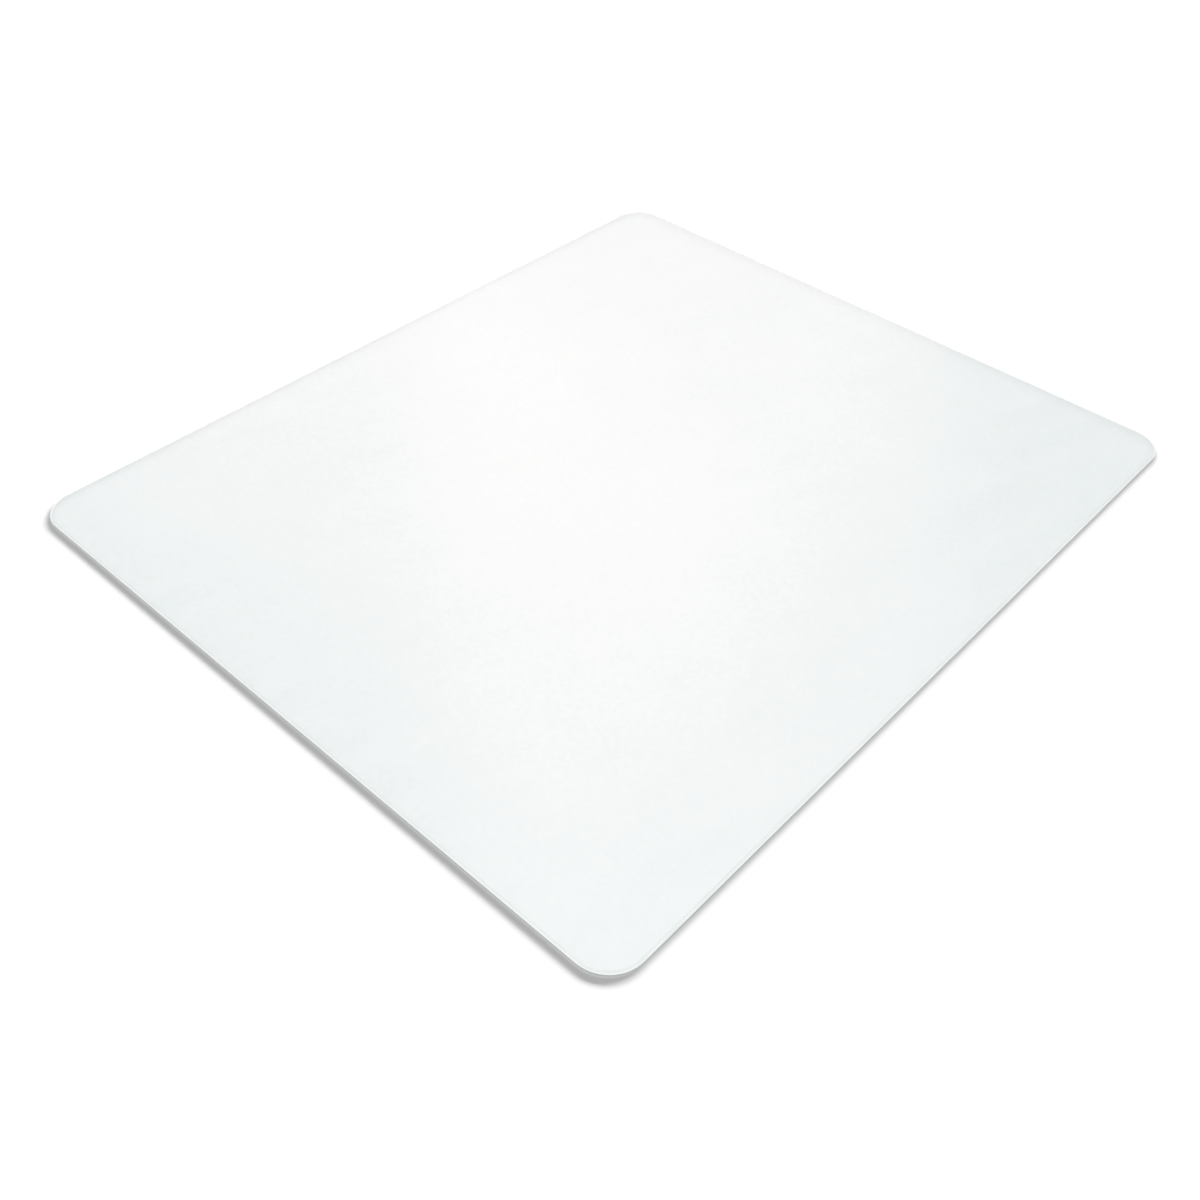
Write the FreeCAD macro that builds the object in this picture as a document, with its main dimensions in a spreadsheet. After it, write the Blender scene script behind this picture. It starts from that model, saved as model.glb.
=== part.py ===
import FreeCAD, Part
import math
import os

import Sketcher

# Chair mat: a flat, rectangular, see-through sheet with round corners and a bevelled rim.
# Three sheets of one outline are bonded face to face: a grip backing, a stiff core and a
# wear layer. The bevel is cut through the wear layer and on into the core at one slope.
# The origin is the centre of the underside, +X runs along the length and +Z points up.

DOCUMENT_NAME = "chair_mat"
SHEET_NAME = "dimensions"
PARTS_FOLDER = "parts"

# The driving dimensions in millimetres: alias, value, what it measures.
DIMENSIONS = [
    ("mat_length", "1346.2", "outline along X"),
    ("mat_width", "1143", "outline along Y"),
    ("corner_radius", "53", "round of the outline's corners"),
    ("backing_thickness", "0.4", "non-slip backing"),
    ("core_thickness", "2.2", "stiff core sheet"),
    ("wear_thickness", "0.4", "matt wear layer"),
    ("bevel_width", "4", "rim bevel, inwards from the outline"),
    ("bevel_depth", "1.2", "rim bevel, down from the top face"),
]

# Expressions on the dimensions. The core is bevelled as far as the wear layer leaves to do.
CORE_UNDERSIDE = f"{SHEET_NAME}.backing_thickness"
WEAR_UNDERSIDE = f"{CORE_UNDERSIDE} + {SHEET_NAME}.core_thickness"
CORE_BEVEL_DEPTH = f"{SHEET_NAME}.bevel_depth - {SHEET_NAME}.wear_thickness"
CORE_BEVEL_WIDTH = f"{SHEET_NAME}.bevel_width * ({CORE_BEVEL_DEPTH}) / {SHEET_NAME}.bevel_depth"

# The outline's geometry in a sketch: four sides and the corner that follows each of them,
# anticlockwise from the low-Y side.
SIDES = (0, 1, 2, 3)
CORNERS = (4, 5, 6, 7)
SKETCH_ORIGIN = (-1, 1)
START, END, CENTRE = 1, 2, 3


def add_dimensions(doc):
    """The spreadsheet of driving dimensions."""
    sheet = doc.addObject("Spreadsheet::Sheet", SHEET_NAME)
    for row, (alias, value, meaning) in enumerate(DIMENSIONS, start=1):
        sheet.set(f"A{row}", meaning)
        sheet.set(f"B{row}", value)
        sheet.setAlias(f"B{row}", alias)
    doc.recompute()
    return sheet


def add_layer(doc, label):
    """An empty body for one of the bonded sheets."""
    body = doc.addObject("PartDesign::Body", label)
    body.Label = label
    return body


def outline_geometry(length, width, radius):
    """Four sides and four quarter-circle corners, centred on the origin."""
    corner_x = length / 2 - radius
    corner_y = width / 2 - radius
    signs = [(1, -1), (1, 1), (-1, 1), (-1, -1)]
    quarter = math.pi / 2
    arcs = []
    for turn, (sign_x, sign_y) in enumerate(signs):
        centre = FreeCAD.Vector(sign_x * corner_x, sign_y * corner_y, 0)
        circle = Part.Circle(centre, FreeCAD.Vector(0, 0, 1), radius)
        arcs.append(Part.ArcOfCircle(circle, (turn - 1) * quarter, turn * quarter))
    sides = []
    for turn, arc in enumerate(arcs):
        before = arcs[turn - 1]
        sides.append(Part.LineSegment(before.EndPoint, arc.StartPoint))
    return sides + arcs


def join_sides_and_corners(sketch):
    """Sides square to the axes, corners alike and tangent to them, all centred."""
    for turn, (side, corner) in enumerate(zip(SIDES, CORNERS)):
        next_side = SIDES[(turn + 1) % len(SIDES)]
        direction = "Vertical" if turn % 2 else "Horizontal"
        sketch.addConstraint(Sketcher.Constraint(direction, side))
        sketch.addConstraint(Sketcher.Constraint("Tangent", side, END, corner, START))
        sketch.addConstraint(Sketcher.Constraint("Tangent", corner, END, next_side, START))
    for corner in CORNERS[1:]:
        sketch.addConstraint(Sketcher.Constraint("Equal", CORNERS[0], corner))
    across = (CORNERS[0], CENTRE, CORNERS[2], CENTRE)
    sketch.addConstraint(Sketcher.Constraint("Symmetric", *across, *SKETCH_ORIGIN))


def drive(sketch, name, kind, places, value, expression):
    """Adds a dimension to a sketch and ties it to an expression."""
    number = sketch.addConstraint(Sketcher.Constraint(kind, *places, value))
    sketch.renameConstraint(number, name)
    sketch.setExpression(f"Constraints.{name}", expression)


def outline_sketch(body, sheet, name, inset="0", height="0"):
    """The mat's outline, moved inwards by inset and lifted by height, both expressions."""
    sketch = body.newObject("Sketcher::SketchObject", name)
    plane = next(f for f in body.Origin.OriginFeatures if f.Role == "XY_Plane")
    sketch.AttachmentSupport = [(plane, "")]
    sketch.MapMode = "FlatFace"
    sketch.setExpression("AttachmentOffset.Base.z", height)

    length, width, radius = sheet.mat_length, sheet.mat_width, sheet.corner_radius
    sketch.addGeometry(outline_geometry(length, width, radius), False)
    join_sides_and_corners(sketch)
    low_y, high_x, high_y, low_x = SIDES
    along_x = (low_x, START, high_x, START)
    along_y = (low_y, START, high_y, START)
    both = f"2 * ({inset})"
    drive(sketch, "length", "DistanceX", along_x, length, f"{SHEET_NAME}.mat_length - {both}")
    drive(sketch, "width", "DistanceY", along_y, width, f"{SHEET_NAME}.mat_width - {both}")
    drive(sketch, "radius", "Radius", CORNERS[:1], radius, f"{SHEET_NAME}.corner_radius - ({inset})")
    return sketch


def pad_sketch(body, sketch, name, thickness):
    """A sketch padded upwards by an expression."""
    pad = body.newObject("PartDesign::Pad", name)
    pad.Profile = sketch
    pad.setExpression("Length", thickness)
    return pad


def top_face(feature):
    """The name of a feature's highest face."""
    heights = [face.CenterOfMass.z for face in feature.Shape.Faces]
    return f"Face{heights.index(max(heights)) + 1}"


def make_grip_backing(doc, sheet):
    """The non-slip sheet that lies on the floor, cut flush with the core."""
    body = add_layer(doc, "grip_backing")
    outline = outline_sketch(body, sheet, "backing_outline")
    pad_sketch(body, outline, "backing_pad", f"{SHEET_NAME}.backing_thickness")
    return body


def make_core_sheet(doc, sheet):
    """The stiff sheet on the backing, with the lower part of the bevel round its top."""
    body = add_layer(doc, "core_sheet")
    body.setExpression("Placement.Base.z", CORE_UNDERSIDE)
    outline = outline_sketch(body, sheet, "core_outline")
    pad = pad_sketch(body, outline, "core_pad", f"{SHEET_NAME}.core_thickness")
    doc.recompute()

    bevel = body.newObject("PartDesign::Chamfer", "core_bevel")
    bevel.Base = (pad, [top_face(pad)])
    bevel.ChamferType = "Two distances"
    bevel.setExpression("Size", CORE_BEVEL_DEPTH)
    bevel.setExpression("Size2", CORE_BEVEL_WIDTH)
    return body


def make_wear_layer(doc, sheet):
    """The matt sheet on the core. Its whole rim is bevel, so it narrows towards the top."""
    body = add_layer(doc, "wear_layer")
    body.setExpression("Placement.Base.z", WEAR_UNDERSIDE)
    wide = outline_sketch(body, sheet, "wear_underside", CORE_BEVEL_WIDTH)
    bevel_width, thickness = f"{SHEET_NAME}.bevel_width", f"{SHEET_NAME}.wear_thickness"
    narrow = outline_sketch(body, sheet, "wear_top", bevel_width, thickness)
    loft = body.newObject("PartDesign::AdditiveLoft", "wear_loft")
    loft.Profile = wide
    loft.Sections = [narrow]
    loft.Ruled = True
    return body


def check_document(doc, layers):
    """Stops the build if an object failed or a layer is not a sound solid."""
    for item in doc.Objects:
        if "Invalid" in item.State or "Error" in item.State:
            raise RuntimeError(f"{item.Label} failed: {item.State}")
    for layer in layers:
        shape = layer.Shape
        if shape.isNull() or not shape.isValid() or len(shape.Solids) != 1:
            raise RuntimeError(f"{layer.Label} is not one valid solid")


def main():
    doc = FreeCAD.newDocument(DOCUMENT_NAME)
    sheet = add_dimensions(doc)
    layers = [
        make_grip_backing(doc, sheet),
        make_core_sheet(doc, sheet),
        make_wear_layer(doc, sheet),
    ]
    doc.recompute()
    check_document(doc, layers)

    os.makedirs(PARTS_FOLDER, exist_ok=True)
    for layer in layers:
        layer.Shape.exportStep(os.path.join(PARTS_FOLDER, f"{layer.Label}.step"))
        box = layer.Shape.BoundBox
        print(f"{layer.Label}: {layer.Shape.Volume:.1f} mm3, z {box.ZMin:.3f} to {box.ZMax:.3f}")


main()
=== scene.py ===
import math

import bpy
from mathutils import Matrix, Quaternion, Vector


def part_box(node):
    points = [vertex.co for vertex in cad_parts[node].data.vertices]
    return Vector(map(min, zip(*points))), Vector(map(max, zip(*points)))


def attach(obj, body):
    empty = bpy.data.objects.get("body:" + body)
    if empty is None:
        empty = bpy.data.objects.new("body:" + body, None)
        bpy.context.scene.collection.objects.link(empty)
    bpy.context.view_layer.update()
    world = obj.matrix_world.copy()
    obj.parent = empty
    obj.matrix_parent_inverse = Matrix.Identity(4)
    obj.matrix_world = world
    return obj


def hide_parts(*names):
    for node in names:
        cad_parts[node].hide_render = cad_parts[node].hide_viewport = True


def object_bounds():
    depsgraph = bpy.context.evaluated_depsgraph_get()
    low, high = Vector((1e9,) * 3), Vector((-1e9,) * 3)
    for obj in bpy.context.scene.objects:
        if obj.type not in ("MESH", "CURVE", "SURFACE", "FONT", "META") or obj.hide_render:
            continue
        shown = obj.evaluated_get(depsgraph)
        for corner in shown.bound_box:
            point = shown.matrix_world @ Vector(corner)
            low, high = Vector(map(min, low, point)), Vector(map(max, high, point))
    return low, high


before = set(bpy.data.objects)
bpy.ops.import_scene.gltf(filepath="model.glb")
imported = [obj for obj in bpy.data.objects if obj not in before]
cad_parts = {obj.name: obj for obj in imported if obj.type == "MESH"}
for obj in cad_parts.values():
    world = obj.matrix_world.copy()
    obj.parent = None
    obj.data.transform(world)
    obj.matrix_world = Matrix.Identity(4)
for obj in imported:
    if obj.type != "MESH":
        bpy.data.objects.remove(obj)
cad_low, cad_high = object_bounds()

MM = 0.001
BODY = "root"
TOLERANCE = 0.01 * MM  # two CAD coordinates closer than this are the same


# ------------------------------------------------------------ sizes, read from the frame

def corners(node):
    """A CAD node's corner points."""
    return [v.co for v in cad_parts[node].data.vertices]


def same(a, b):
    return abs(a - b) < TOLERANCE


HALF_X, HALF_Y, TOP_Z = cad_high
BACKING_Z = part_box("grip_backing")[1].z
CORE_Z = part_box("core_sheet")[1].z
CORE_INSET = HALF_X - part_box("wear_layer")[1].x
BEVEL_WIDTH = HALF_X - max(co.x for co in corners("wear_layer") if same(co.z, TOP_Z))
BEVEL_FOOT_Z = max(co.z for co in corners("core_sheet") if same(co.x, HALF_X))
RADIUS = HALF_Y - max(co.y for co in corners("grip_backing") if same(co.x, HALF_X))

# The shape's fine detail
BOND_GAP = 0.01 * MM  # keeps two bonded sheets from sharing one face
EASE = 0.12 * MM  # round on a cut edge
BOND_EASE = 0.03 * MM  # round on an edge that meets the next sheet
LIP = 1.5 * MM  # flat strip between a face and its rim
WAVE_DEPTH = 0.12 * MM
WAVE_FADE = 80 * MM  # the waves die out over this width towards the rim
LONG_SHARE = 0.35  # of the wave depth, either way, in waves about 0.8 m long
SHORT_SHARE = 0.15  # and in waves about 0.3 m long
GRID = 9 * MM  # mesh of the top
CORNER_STEPS = 14
EASE_STEPS = 3
SHARP_ANGLE = math.radians(50)


# ------------------------------------------------------------ shape

def spread(low, high, count):
    """count + 1 even steps from low to high."""
    return [low + (high - low) * k / count for k in range(count + 1)]


def outline():
    """The outline's skeleton, anticlockwise from the low-X end of the low-Y side.

    Each entry is (x, y, normal x, normal y): the rim lies RADIUS along the normal. With it
    come the number of points along a side in X and, with the corners, along one in Y.
    """
    inner_x, inner_y = HALF_X - RADIUS, HALF_Y - RADIUS
    across = spread(-inner_x, inner_x, round(2 * inner_x / GRID))
    up = spread(-inner_y, inner_y, round(2 * inner_y / GRID))
    turn = spread(0, math.pi / 2, CORNER_STEPS)[1:]
    half = [(x, -inner_y, 0, -1) for x in across]
    half += [(inner_x, -inner_y, math.sin(t), -math.cos(t)) for t in turn]
    half += [(inner_x, y, 1, 0) for y in up[1:]]
    half += [(inner_x, inner_y, math.cos(t), math.sin(t)) for t in turn]
    other_half = [(-x, -y, -nx, -ny) for x, y, nx, ny in half]
    columns = len(across)
    return half[:-1] + other_half[:-1], columns, len(half) - columns + 1


RING, COLUMNS, ROWS = outline()


def ring_points(inset, z):
    """The outline at height z, moved in from the rim by inset."""
    reach = RADIUS - inset
    return [(x + nx * reach, y + ny * reach, z) for x, y, nx, ny in RING]


def eased(profile):
    """A profile of (inset, z, ease) points as (inset, z) points, with its corners rounded."""
    points = [Vector(p[:2]) for p in profile]
    result = [points[0]]
    for k in range(1, len(points) - 1):
        corner = points[k]
        start = corner + (points[k - 1] - corner).normalized() * profile[k][2]
        end = corner + (points[k + 1] - corner).normalized() * profile[k][2]
        for t in spread(0, 1, EASE_STEPS):
            result.append(start * (1 - t) ** 2 + corner * 2 * t * (1 - t) + end * t * t)
    return result + [points[-1]]


def wave(x, y):
    """How far the top dips below its plane: a sheet on a floor is never quite flat."""
    rim = min(HALF_X - abs(x), HALF_Y - abs(y)) - BEVEL_WIDTH - LIP
    fade = min(1, max(0, rim / WAVE_FADE))
    long_wave = math.sin(7.1 * x + 3.3 * y + 0.7) * math.cos(2.9 * x - 8.3 * y)
    short_wave = math.sin(17 * x - 11 * y + 2.1) * math.sin(9 * x + 19 * y)
    dip = 0.5 - LONG_SHARE * long_wave - SHORT_SHARE * short_wave
    return WAVE_DEPTH * dip * fade * fade * (3 - 2 * fade)


def plain_top(vertices):
    """One flat face inside the first ring of vertices."""
    return [tuple(range(len(RING)))]


def waved_top(vertices):
    """A grid inside the first ring: each row runs between two points of the ring."""
    count, inner_start = len(RING), len(vertices)
    left = [(count - row) % count for row in range(ROWS)]
    right = [COLUMNS - 1 + row for row in range(ROWS)]
    for row in range(1, ROWS - 1):
        start, end = vertices[left[row]], vertices[right[row]]
        for x in spread(start[0], end[0], COLUMNS - 1)[1:-1]:
            y = start[1]
            vertices.append((x, y, TOP_Z - wave(x, y)))

    def index(column, row):
        if row == 0:
            return column
        if row == ROWS - 1:
            return left[row] - column
        if column == 0:
            return left[row]
        if column == COLUMNS - 1:
            return right[row]
        return inner_start + (row - 1) * (COLUMNS - 2) + column - 1

    faces = []
    for row in range(ROWS - 1):
        for column in range(COLUMNS - 1):
            near_edge = (index(column, row), index(column + 1, row))
            far_edge = (index(column + 1, row + 1), index(column, row + 1))
            faces.append(near_edge + far_edge)
    return faces


def sheet(name, profile, top_faces):
    """A closed sheet whose rim follows profile, from the top face out and down to the underside."""
    levels = eased(profile)
    count = len(RING)
    vertices = []
    for inset, z in levels:
        vertices += ring_points(inset, z)
    faces = []
    for level in range(len(levels) - 1):
        upper, lower = level * count, (level + 1) * count
        for k in range(count):
            after = (k + 1) % count
            faces.append((upper + k, lower + k, lower + after, upper + after))
    lowest = (len(levels) - 1) * count
    faces.append(tuple(lowest + k for k in reversed(range(count))))
    faces += top_faces(vertices)

    mesh = bpy.data.meshes.new(name)
    mesh.from_pydata(vertices, [], faces)
    mesh.shade_smooth()
    mesh.set_sharp_from_angle(angle=SHARP_ANGLE)
    piece = bpy.data.objects.new(name, mesh)
    mat_pieces.objects.link(piece)
    piece.modifiers.new("flat faces stay flat", "WEIGHTED_NORMAL").keep_sharp = True
    return piece


# The least upward part of a face's unit normal, for the top, a bevel and a wall
TOP_UP = 0.9995
BEVEL_UP = 0.7
WALL_UP = -0.9995


def dress(piece, top, bevel, wall, underside):
    """Gives a sheet's faces their materials, by how steeply they stand."""
    for material in (top, bevel, wall, underside):
        piece.data.materials.append(material)
    for face in piece.data.polygons:
        up = face.normal.z
        face.material_index = (up <= TOP_UP) + (up <= BEVEL_UP) + (up <= WALL_UP)


# ------------------------------------------------------------ materials

PLASTIC_IOR = 1.5
NOISE_LOW, NOISE_HIGH = 0.3, 0.7  # nearly all of a noise field lies between these

class Shader:
    """A material with one Principled shader, and short calls for the nodes behind it."""

    def __init__(self, name):
        self.material = bpy.data.materials.new(name)
        self.material.use_nodes = True
        self.nodes = self.material.node_tree.nodes
        self.links = self.material.node_tree.links
        self.surface = self.nodes["Principled BSDF"]
        self.place = self.nodes.new("ShaderNodeTexCoord").outputs["Object"]

    def set(self, **values):
        for name, value in values.items():
            self.surface.inputs[name.replace("_", " ")].default_value = value

    def feed(self, name, source):
        self.links.new(source, self.surface.inputs[name])

    def node(self, kind, **inputs):
        node = self.nodes.new(kind)
        for name, value in inputs.items():
            socket = node.inputs[name.replace("_", " ")]
            if isinstance(value, bpy.types.NodeSocket):
                self.links.new(value, socket)
            else:
                socket.default_value = value
        return node

    def stretched(self, angle, stretch):
        """The place, turned by angle in degrees and drawn out along the turned X axis."""
        node = self.node("ShaderNodeMapping", Vector=self.place)
        node.vector_type = "TEXTURE"
        node.inputs["Rotation"].default_value[2] = math.radians(angle)
        node.inputs["Scale"].default_value = (stretch, 1, 1)
        return node.outputs["Vector"]

    def noise(self, size, place=None, detail=2.0, roughness=0.5):
        """Noise with features of this size in metres, around 0.5."""
        place = self.place if place is None else place
        node = self.node(
            "ShaderNodeTexNoise", Vector=place, Scale=1 / size, Detail=detail, Roughness=roughness
        )
        return node.outputs["Fac"]

    def span(self, source, low, high):
        """A noise field spread over low to high."""
        node = self.node("ShaderNodeMapRange", Value=source)
        node.inputs["From Min"].default_value = NOISE_LOW
        node.inputs["From Max"].default_value = NOISE_HIGH
        node.inputs["To Min"].default_value = low
        node.inputs["To Max"].default_value = high
        return node.outputs["Result"]

    def add(self, total, source, share):
        """total + source x share"""
        node = self.nodes.new("ShaderNodeMath")
        node.operation = "MULTIPLY_ADD"
        self.links.new(source, node.inputs[0])
        node.inputs[1].default_value = share
        if total is not None:
            self.links.new(total, node.inputs[2])
        return node.outputs["Value"]

    def blend(self, factor, first, second):
        """Two colours mixed by a factor."""
        node = self.nodes.new("ShaderNodeMix")
        node.data_type = "RGBA"
        self.links.new(factor, node.inputs["Factor"])
        for name, value in (("A", first), ("B", second)):
            socket = next(s for s in node.inputs if s.name == name and s.type == "RGBA")
            if isinstance(value, bpy.types.NodeSocket):
                self.links.new(value, socket)
            else:
                socket.default_value = (*value, 1)
        return next(s for s in node.outputs if s.type == "RGBA")

    def relief(self, *layers):
        """Bump from (height field, depth in metres) pairs."""
        height = None
        for field, depth in layers:
            height = self.add(height, field, depth)
        bump = self.node("ShaderNodeBump", Height=height, Distance=1.0)
        self.feed("Normal", bump.outputs["Normal"])


def frosted_top():
    """The top that the castors roll on: milky, with a fine moulded stipple and faint streaks in its gloss
    and bump, and a painted reflection of those streaks in its colour.
    """
    shader = Shader("frosted_top")
    haze = shader.noise(260 * MM, detail=1.0)
    mottle = shader.noise(8 * MM, detail=3.0, roughness=0.65)
    streaks = shader.noise(52 * MM, place=shader.stretched(-18, 6), detail=1.5)
    grains = shader.noise(1.3 * MM, detail=0.0)
    thin_haze, thick_haze = (0.716, 0.804, 0.806), (0.734, 0.816, 0.818)
    # The first colour below is a painted reflection: lighter streaks in the colour where the gloss
    # streaks. The second is the stipple's own speckle.
    painted_streak_reflection, speckle_colour = (0.86, 0.91, 0.91), (0.84, 0.885, 0.885)
    broad = shader.blend(shader.span(haze, 0, 1), thin_haze, thick_haze)
    painted_reflection_streaked = shader.blend(shader.span(streaks, 0, 0.12), broad, painted_streak_reflection)
    speckled = shader.blend(shader.span(mottle, 0, 0.35), painted_reflection_streaked, speckle_colour)
    shader.feed("Base Color", speckled)
    # The gloss stays under about 0.27: a field that crosses it renders with hard lines.
    sheen = shader.span(streaks, 0.165, 0.23)
    shader.feed("Roughness", shader.add(sheen, mottle, 0.05))
    shader.relief((streaks, 0.02 * MM), (mottle, 0.03 * MM), (grains, 0.02 * MM))
    shader.set(Alpha=0.60, IOR=PLASTIC_IOR)
    return shader.material


def cut_face(name, alpha, dark, light):
    """A milled face of the rim: the sheet is denser edge on, with fine marks of the cutter. On the two
    bevels, dark and light also carry a painted shade line and a painted highlight.
    """
    shader = Shader(name)
    cloud = shader.noise(40 * MM, detail=1.0)
    marks = shader.noise(0.5 * MM, detail=1.0)
    shader.feed("Base Color", shader.blend(shader.span(cloud, 0, 1), dark, light))
    shader.feed("Roughness", shader.span(marks, 0.32, 0.48))
    shader.relief((marks, 0.02 * MM))
    shader.set(Alpha=alpha, IOR=PLASTIC_IOR)
    return shader.material


def bonded_face():
    """A face inside the laminate: nearly clear, because the sheets are bonded with no air between."""
    shader = Shader("bonded_face")
    haze = shader.noise(30 * MM, detail=0.0)
    colour = shader.blend(shader.span(haze, 0, 1), (0.80, 0.86, 0.855), (0.86, 0.90, 0.895))
    shader.feed("Base Color", colour)
    shader.set(Alpha=0.03, IOR=PLASTIC_IOR, Roughness=0.5)
    shader.set(Specular_IOR_Level=0.0)
    return shader.material


def grip_face():
    """The backing that lies on the floor: milky, matt and slightly tacky, with a fine grain."""
    shader = Shader("grip_face")
    cloud = shader.noise(60 * MM, detail=1.0)
    mottle = shader.noise(2.5 * MM, detail=2.0, roughness=0.6)
    colour = shader.blend(shader.span(cloud, 0, 1), (0.77, 0.81, 0.80), (0.83, 0.86, 0.85))
    shader.feed("Base Color", colour)
    shader.feed("Roughness", shader.span(mottle, 0.62, 0.78))
    shader.relief((mottle, 0.05 * MM))
    shader.set(Alpha=0.50, IOR=PLASTIC_IOR)
    return shader.material


# ------------------------------------------------------------ the mat's pieces

mat_pieces = bpy.data.collections.new("mat_pieces")
bpy.context.scene.collection.children.link(mat_pieces)

top_finish, grip_finish, bond_finish = frosted_top(), grip_face(), bonded_face()
# The upper bevel, on the wear layer, is painted darker: a painted shade line where the top meets the rim.
# The lower bevel, on the core, is painted lighter: a painted highlight along the rim. Both also hold the
# sheet's denser tint edge on.
wear_rim_painted_shade = cut_face("milled_wear_rim_painted_shade", 0.95, (0.57, 0.63, 0.625), (0.60, 0.655, 0.65))
core_rim_painted_highlight = cut_face("milled_core_painted_highlight", 0.95, (0.63, 0.685, 0.675), (0.665, 0.71, 0.70))
WALL_DARK, WALL_LIGHT = (0.66, 0.72, 0.71), (0.70, 0.75, 0.74)
core_wall = cut_face("core_wall", 0.90, WALL_DARK, WALL_LIGHT)
backing_wall = cut_face("backing_wall", 0.35, WALL_DARK, WALL_LIGHT)

# Each profile is a row of (inset from the rim, height, ease) points, from the top face down.
wear_foot = CORE_Z + BOND_GAP / 2
core_head = CORE_Z - BOND_GAP / 2
core_foot = BACKING_Z + BOND_GAP / 2
backing_head = BACKING_Z - BOND_GAP / 2

wear_profile = (
    (BEVEL_WIDTH + LIP, TOP_Z, 0),
    (BEVEL_WIDTH, TOP_Z, EASE),
    (CORE_INSET, wear_foot, BOND_EASE),
    (CORE_INSET + LIP, wear_foot, 0),
)
core_profile = (
    (CORE_INSET + LIP, core_head, 0),
    (CORE_INSET, core_head, BOND_EASE),
    (0, BEVEL_FOOT_Z, EASE),
    (0, core_foot, BOND_EASE),
    (LIP, core_foot, 0),
)
backing_profile = (
    (LIP, backing_head, 0),
    (0, backing_head, BOND_EASE),
    (0, 0, EASE),
    (LIP, 0, 0),
)

wear = sheet("wear_layer_visual", wear_profile, waved_top)
dress(wear, top_finish, wear_rim_painted_shade, wear_rim_painted_shade, bond_finish)
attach(wear, BODY)
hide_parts("wear_layer")

core = sheet("core_sheet_visual", core_profile, plain_top)
dress(core, bond_finish, core_rim_painted_highlight, core_wall, bond_finish)
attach(core, BODY)
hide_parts("core_sheet")

backing = sheet("grip_backing_visual", backing_profile, plain_top)
dress(backing, bond_finish, backing_wall, backing_wall, grip_finish)
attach(backing, BODY)
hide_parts("grip_backing")


# ------------------------------------------------------------ stage

FLOOR_SIZE = 60.0
FLOOR_DROP = 0.05 * MM  # keeps the floor clear of the mat's underside
FLOOR_COLOUR = (0.8, 0.8, 0.8, 1)

mesh = bpy.data.meshes.new("floor")
half = FLOOR_SIZE / 2
square = [(-half, -half), (half, -half), (half, half), (-half, half)]
mesh.from_pydata([(x, y, -FLOOR_DROP) for x, y in square], [], [(0, 1, 2, 3)])
floor = bpy.data.objects.new("floor", mesh)
bpy.context.scene.collection.objects.link(floor)
floor_shader = Shader("pale_floor")
floor_shader.set(Base_Color=FLOOR_COLOUR, Roughness=0.9)
floor_shader.set(Specular_IOR_Level=0.0)
floor.data.materials.append(floor_shader.material)

floor_only = bpy.data.collections.new("floor_only")
floor_only.objects.link(floor)


# ------------------------------------------------------------ light

LIGHT_DISTANCE = 20.0
AMBIENT = 0.5
BACKDROP = 1.0  # the world as the camera sees it
SEE_THROUGH_BOUNCES = 24  # a ray crosses six see-through faces or more on its way to the floor
WHITE = (1, 1, 1, 1)

# (red, green and blue) radiance
GLOW = (2.3, 1.6)
OVERHEAD_GLOW = (1.87, 1.87)
LOW_GLOW = (1.0, 1.0)

STRIP_AZIMUTHS = (5, 15, 25, 35, 45)
STRIP_ELEVATION = 9.5
STRIP_STRENGTH = 3.0
STRIP_WIDTH = math.radians(5)


def direction(azimuth, elevation):
    """A unit vector: azimuth in degrees from +X towards +Y, and elevation above the floor."""
    a, e = math.radians(azimuth), math.radians(elevation)
    return Vector((math.cos(a) * math.cos(e), math.sin(a) * math.cos(e), math.sin(e)))


def place_light(name, kind, azimuth, elevation, turn, receivers):
    """A light aimed at the mat from LIGHT_DISTANCE away, that lights nothing but receivers.

    It is turned by turn degrees about the way it shines.
    """
    light = bpy.data.objects.new(name, bpy.data.lights.new(name, kind))
    bpy.context.scene.collection.objects.link(light)
    way = direction(azimuth, elevation)
    light.location = way * LIGHT_DISTANCE
    aimed = way.to_track_quat("Z", "Y")
    light.rotation_euler = (aimed @ Quaternion((0, 0, 1), math.radians(turn))).to_euler()
    light.light_linking.receiver_collection = receivers
    return light


def softbox(name, azimuth, elevation, turn, width, height, radiance):
    """A soft panel for the mat alone. Its sides are in metres for each metre of distance.

    Its radiance is one number for red, and one for green and blue.
    """
    width, height = width * LIGHT_DISTANCE, height * LIGHT_DISTANCE
    light = place_light(name, "AREA", azimuth, elevation, turn, mat_pieces)
    light.data.shape = "RECTANGLE"
    light.data.size = width
    light.data.size_y = height
    red, green_blue = radiance
    light.data.color = (1, green_blue / red, green_blue / red)
    light.data.energy = red * math.pi * width * height
    light.visible_camera = False


# A low strip of light behind the mat draws its soft shadow on the floor.
for azimuth in STRIP_AZIMUTHS:
    part = place_light(f"strip_{azimuth}", "SUN", azimuth, STRIP_ELEVATION, 0, floor_only)
    part.data.energy = STRIP_STRENGTH
    part.data.angle = STRIP_WIDTH

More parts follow.
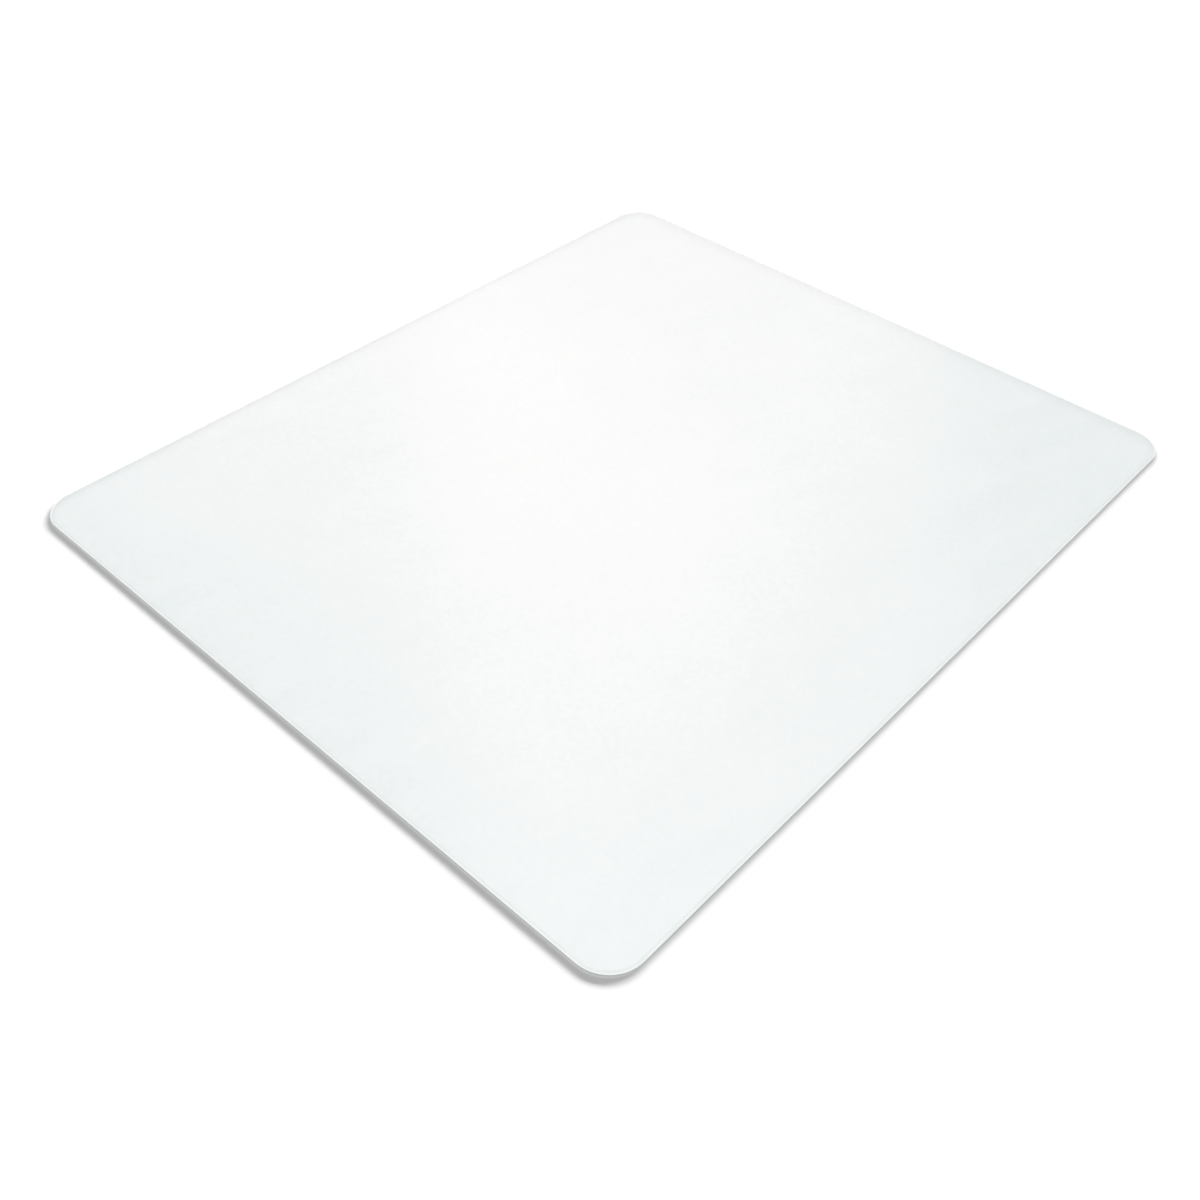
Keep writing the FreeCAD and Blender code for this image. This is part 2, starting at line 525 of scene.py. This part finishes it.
# Two panels overlap in the middle of their reflection, a wide one hangs overhead, and a low
# and very wide one lights the far rims.
softbox("upright_panel", azimuth=35.4, elevation=42.4, turn=8, width=0.43, height=0.66, radiance=GLOW)
softbox("slanted_panel", azimuth=52.5, elevation=38.0, turn=45, width=0.345, height=0.62, radiance=GLOW)
softbox("overhead_panel", azimuth=220, elevation=88, turn=0, width=1.4, height=1.4, radiance=OVERHEAD_GLOW)
softbox("low_panel", azimuth=42, elevation=12, turn=0, width=8.0, height=0.35, radiance=LOW_GLOW)

world = bpy.data.worlds.new("studio")
bpy.context.scene.world = world
world.use_nodes = True
nodes, links = world.node_tree.nodes, world.node_tree.links
ambient = nodes["Background"]
ambient.inputs["Color"].default_value = WHITE
ambient.inputs["Strength"].default_value = AMBIENT
backdrop = nodes.new("ShaderNodeBackground")
backdrop.inputs["Color"].default_value = WHITE
backdrop.inputs["Strength"].default_value = BACKDROP
seen = nodes.new("ShaderNodeLightPath").outputs["Is Camera Ray"]
mixed = nodes.new("ShaderNodeMixShader")
links.new(seen, mixed.inputs["Fac"])
links.new(ambient.outputs[0], mixed.inputs[1])
links.new(backdrop.outputs[0], mixed.inputs[2])
links.new(mixed.outputs[0], nodes["World Output"].inputs["Surface"])

bpy.context.scene.view_settings.view_transform = "Standard"
bpy.context.scene.cycles.transparent_max_bounces = SEE_THROUGH_BOUNCES


# ------------------------------------------------------------ camera

# Angles in degrees. An azimuth of 0 looks along +Y, and lengths but the lens's are in metres.
CAMERA_AZIMUTH = -49.07
CAMERA_ELEVATION = 43.65
CAMERA_ROLL = 2.15
CAMERA_DISTANCE = 1.812
CAMERA_AIM = (-0.2374, -0.1564, TOP_Z)
LENS = 39.09  # mm

camera = bpy.data.objects.new("camera", bpy.data.cameras.new("camera"))
bpy.context.scene.collection.objects.link(camera)
camera.data.lens = LENS
back = direction(CAMERA_AZIMUTH - 90, CAMERA_ELEVATION)
camera.location = Vector(CAMERA_AIM) + back * CAMERA_DISTANCE
level = back.to_track_quat("Z", "Y")
roll = Quaternion((0, 0, 1), math.radians(CAMERA_ROLL))
camera.rotation_euler = (level @ roll).to_euler()
bpy.context.scene.camera = camera
